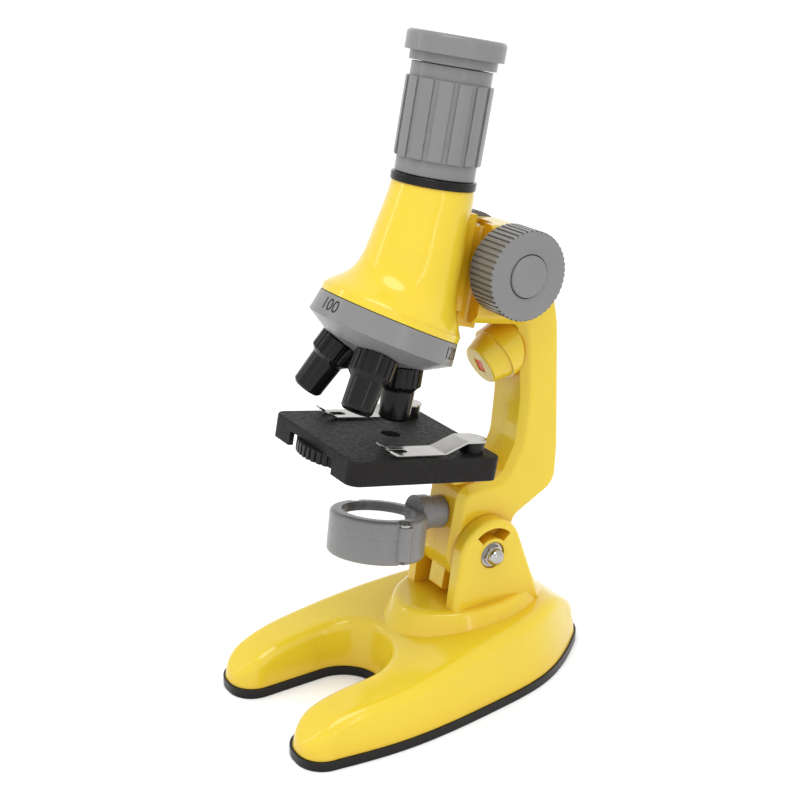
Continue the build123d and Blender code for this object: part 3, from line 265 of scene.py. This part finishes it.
def board_green(name):
    """Lacquered circuit board whose glass weave shows through."""
    shader = Shader(name)
    weave = shader.noise(0.8 * MM, detail=2.0, stretch=(1.0, 3.0, 3.0))
    shader.join("Base Color", shader.blend(weave, (0.01, 0.11, 0.04), (0.02, 0.17, 0.07)))
    shader.join("Roughness", shader.between(weave, 0.3, 0.45))
    shader.join("Normal", bumped(shader, weave, 0.01 * MM, rounded_normal(shader, 0.2 * MM)))
    return shader.material


def sleeve_blue(name):
    """Shrink sleeve of a battery cell, with a plain pale band at one end."""
    shader = Shader(name)
    creases = shader.noise(4 * MM, detail=5.0, stretch=(0.4, 2.0, 2.0))
    side = shader.add("SeparateXYZ", {"Vector": shader.place}).outputs["X"]
    band = shader.between(side, 0.0, 1.0, at=(14.8 * MM, 15.2 * MM))
    body = shader.blend(creases, (0.01, 0.05, 0.22), (0.02, 0.08, 0.3))
    shader.join("Base Color", shader.blend(band, body, (0.75, 0.6, 0.3)))
    shader.join("Roughness", shader.between(creases, 0.2, 0.35))
    shader.join("Normal", bumped(shader, creases, 0.02 * MM, rounded_normal(shader, 0.3 * MM)))
    return shader.material


# the second colour of each moulded plastic is its painted shade for corners and recesses
yellow = moulded("yellow_abs", (0.645, 0.475, 0.024), (0.64, 0.32, 0.006), (0.85, 0.7, 0.2), 0.17,
                 reach=14 * MM, coat=0.28, glow=0.08, shine=0.3)
grey = moulded("grey_abs", (0.172, 0.17, 0.169), (0.12, 0.118, 0.116), (0.32, 0.32, 0.315), 0.26,
               corner=0.25 * MM, reach=6 * MM, shine=0.4)
black_gloss = moulded("black_gloss_abs", (0.006, 0.0055, 0.005), (0.002, 0.002, 0.002),
                      (0.03, 0.028, 0.026), 0.12, corner=0.25 * MM, shine=0.2)
black_satin = moulded("black_satin_abs", (0.01, 0.0095, 0.009), (0.003, 0.003, 0.003),
                      (0.06, 0.058, 0.055), 0.3, shine=0.2)
white = moulded("white_pc", (0.82, 0.82, 0.8), (0.6, 0.6, 0.58), (0.9, 0.9, 0.88), 0.25, glow=0.2)
stipple = stippled_black("stage_stipple", joints["diaphragm_turn"]["axis"])
chrome = plated("chrome_plate", (0.44, 0.43, 0.41))
zinc = plated("zinc_plate", (0.45, 0.45, 0.435), 0.25)
lens_glass = clear("lens_glass", (0.93, 0.97, 0.98))
red_window = moulded("red_window", (0.75, 0.07, 0.01), (0.45, 0.02, 0.003), (0.85, 0.3, 0.15), 0.3,
                     reach=4 * MM, shine=0.25)
mirror_silver = silvered("mirror_silver")
foam = rubbery("foam_rubber")
board = board_green("circuit_board")
cell_sleeve = sleeve_blue("cell_sleeve")

by_slot = {
    "yellow_plastic": yellow,
    "grey_plastic": grey,
    "black_plastic": black_satin,
    "black_gloss": black_gloss,
    "red_window": red_window,
    "white_plastic": white,
    "chrome": chrome,
    "screw_steel": zinc,
    "rubber": foam,
    "lens_glass": lens_glass,
    "mirror": mirror_silver,
    "cell_case": cell_sleeve,
    "circuit_board": board,
}
by_node = {"stage_plate": stipple}

for part in frame["record"]["subparts"]:
    piece = nodes[part["node"]]
    piece.data.materials.clear()
    piece.data.materials.append(by_node.get(part["node"], by_slot[part["material_slot"]]))


# ---------------------------------------------------------------- numerals on the turret

turret_joint = joints["turret_turn"]
turret_up = Vector(turret_joint["axis"]).normalized()
turret_side = Vector((1, 0, 0))
turret_back = turret_up.cross(turret_side)
BAND_HEIGHT = 7.2 * MM
BAND_TOP_RADIUS = 23.8 * MM
BAND_FOOT_RADIUS = 24.9 * MM
MARK_HEIGHT = 4.1 * MM
MARK_DROP = BAND_HEIGHT * 0.44
INK_THICKNESS = 0.05 * MM
FIGURE_SHARE = 0.73  # how much of a font's size its figures are tall


def on_band(turn, drop, lift):
    """Point on the turret's band: turn in radians from the back, drop below its upper edge."""
    radius = BAND_TOP_RADIUS + (BAND_FOOT_RADIUS - BAND_TOP_RADIUS) * drop / BAND_HEIGHT + lift
    outward = turret_side * sin(turn) + turret_back * cos(turn)
    return Vector(turret_joint["pos_m"]) + outward * radius - turret_up * drop


def numeral(text, bearing):
    """Printed number wrapped round the band, its middle at bearing degrees from the back."""
    curve = bpy.data.curves.new("glyphs_" + text, "FONT")
    curve.body = text
    curve.size = MARK_HEIGHT / FIGURE_SHARE
    curve.align_x = "CENTER"
    curve.align_y = "CENTER"
    curve.resolution_u = 6
    flat = bpy.data.objects.new("glyphs_" + text, curve)
    scene.collection.objects.link(flat)
    bpy.context.view_layer.update()
    mesh = bpy.data.meshes.new_from_object(flat)
    bpy.data.objects.remove(flat)
    bm = bmesh.new()
    bm.from_mesh(mesh)
    bmesh.ops.triangulate(bm, faces=bm.faces)
    bmesh.ops.subdivide_edges(bm, edges=bm.edges, cuts=2, use_grid_fill=True)
    spots = [vertex.co.copy() for vertex in bm.verts]
    middle = (min(spot.y for spot in spots) + max(spot.y for spot in spots)) / 2
    made = bmesh.ops.extrude_face_region(bm, geom=bm.faces[:])
    raised = {item for item in made["geom"] if isinstance(item, bmesh.types.BMVert)}
    for vertex in bm.verts:
        turn = radians(bearing) - vertex.co.x / BAND_FOOT_RADIUS
        drop = MARK_DROP - (vertex.co.y - middle)
        vertex.co = on_band(turn, drop, INK_THICKNESS if vertex in raised else -INK_THICKNESS)
    bmesh.ops.recalc_face_normals(bm, faces=bm.faces)
    bm.to_mesh(mesh)
    bm.free()
    mesh.name = "numeral_" + text
    print_mark = bpy.data.objects.new("numeral_" + text, mesh)
    scene.collection.objects.link(print_mark)
    mesh.materials.clear()
    mesh.materials.append(black_satin)
    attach(print_mark, "turret")


for text, bearing in (("100", 175), ("1200", 55), ("400", 295)):
    numeral(text, bearing)


# ---------------------------------------------------------------- studio

SENSOR_WIDTH = 36
FLOOR_REACH = 3
HORIZON_STRENGTH = 1.13
OVERHEAD_STRENGTH = 1.07
MIDDLE = Vector((0, 0, 0.12))
FLARE = Vector((0.012, -0.019, 0.151))  # the spot of the flared tube that shines
ABOVE_FLARE = Vector((0.229, -0.198, 0.953))  # where that spot mirrors to


def softbox(name, place, target, size, power, shape="RECTANGLE"):
    """Area light aimed at a target: size is its width and height, power is in watts."""
    light = bpy.data.lights.new(name, "AREA")
    light.shape = shape
    light.size, light.size_y = size
    light.energy = power
    lamp = bpy.data.objects.new(name, light)
    lamp.location = place
    lamp.rotation_euler = (Vector(target) - Vector(place)).to_track_quat("-Z", "Y").to_euler()
    scene.collection.objects.link(lamp)


def view_back(azimuth, elevation):
    """Direction from the object to a camera at that azimuth and elevation."""
    a, e = radians(azimuth), radians(elevation)
    return Vector((sin(a) * cos(e), -cos(a) * cos(e), sin(e)))


def make_camera(azimuth, elevation, distance, aim, lens):
    """Camera at distance from the object's middle, moved sideways and up by aim."""
    back = view_back(azimuth, elevation)
    right = Vector((0, 0, 1)).cross(back).normalized()
    above = back.cross(right)
    low, high = cad_box
    camera = bpy.data.objects.new("camera", bpy.data.cameras.new("camera"))
    camera.location = (low + high) / 2 + back * distance + right * aim[0] + above * aim[1]
    camera.rotation_mode = "QUATERNION"
    camera.rotation_quaternion = Matrix((right, above, back)).transposed().to_quaternion()
    camera.data.lens = lens
    camera.data.sensor_width = SENSOR_WIDTH
    camera.data.clip_start = 0.01
    camera.data.clip_end = 20
    scene.collection.objects.link(camera)
    scene.camera = camera


def make_floor():
    """Pale paper that the object stands on, with a faint tooth."""
    bm = bmesh.new()
    bmesh.ops.create_grid(bm, x_segments=8, y_segments=8, size=FLOOR_REACH)
    mesh = bpy.data.meshes.new("floor")
    bm.to_mesh(mesh)
    bm.free()
    floor = bpy.data.objects.new("floor", mesh)
    scene.collection.objects.link(floor)
    shader = Shader("paper")
    tooth = shader.noise(2 * MM, detail=4.0)
    shader.join("Base Color", shader.blend(tooth, (0.95, 0.95, 0.95), (0.97, 0.97, 0.97)))
    shader.join("Roughness", shader.between(tooth, 0.75, 0.9))
    mesh.materials.append(shader.material)


def make_world():
    """White studio that is brighter round the horizon than overhead."""
    world = bpy.data.worlds.new("studio")
    world.use_nodes = True
    tree = world.node_tree
    sky = tree.nodes["Background"]
    sky.inputs["Color"].default_value = (1, 1, 1, 1)
    way = tree.nodes.new("ShaderNodeTexCoord").outputs["Generated"]
    split = tree.nodes.new("ShaderNodeSeparateXYZ")
    tree.links.new(way, split.inputs["Vector"])
    fall = tree.nodes.new("ShaderNodeMapRange")
    tree.links.new(split.outputs["Z"], fall.inputs["Value"])
    fall.inputs["From Min"].default_value = 0.25
    fall.inputs["From Max"].default_value = 0.9
    fall.inputs["To Min"].default_value = HORIZON_STRENGTH
    fall.inputs["To Max"].default_value = OVERHEAD_STRENGTH
    tree.links.new(fall.outputs["Result"], sky.inputs["Strength"])
    scene.world = world


make_camera(azimuth=57.72, elevation=20.81, distance=0.4636, aim=(-0.0076, -0.0077), lens=62.73)
make_floor()
make_world()
softbox("window", MIDDLE + view_back(42, 18) * 0.9, MIDDLE, (1.0, 0.62), 0.6)
softbox("overhead", FLARE + ABOVE_FLARE * 0.8, FLARE, (0.6, 0.45), 2.8, "ELLIPSE")
softbox("strip_side", (0.95, 0.0, 0.45), MIDDLE, (0.05, 0.6), 0.5)
softbox("strip_left", (-0.55, -0.75, 0.55), MIDDLE, (0.07, 0.6), 0.6)
scene.view_settings.view_transform = "Standard"
scene.view_settings.look = "None"
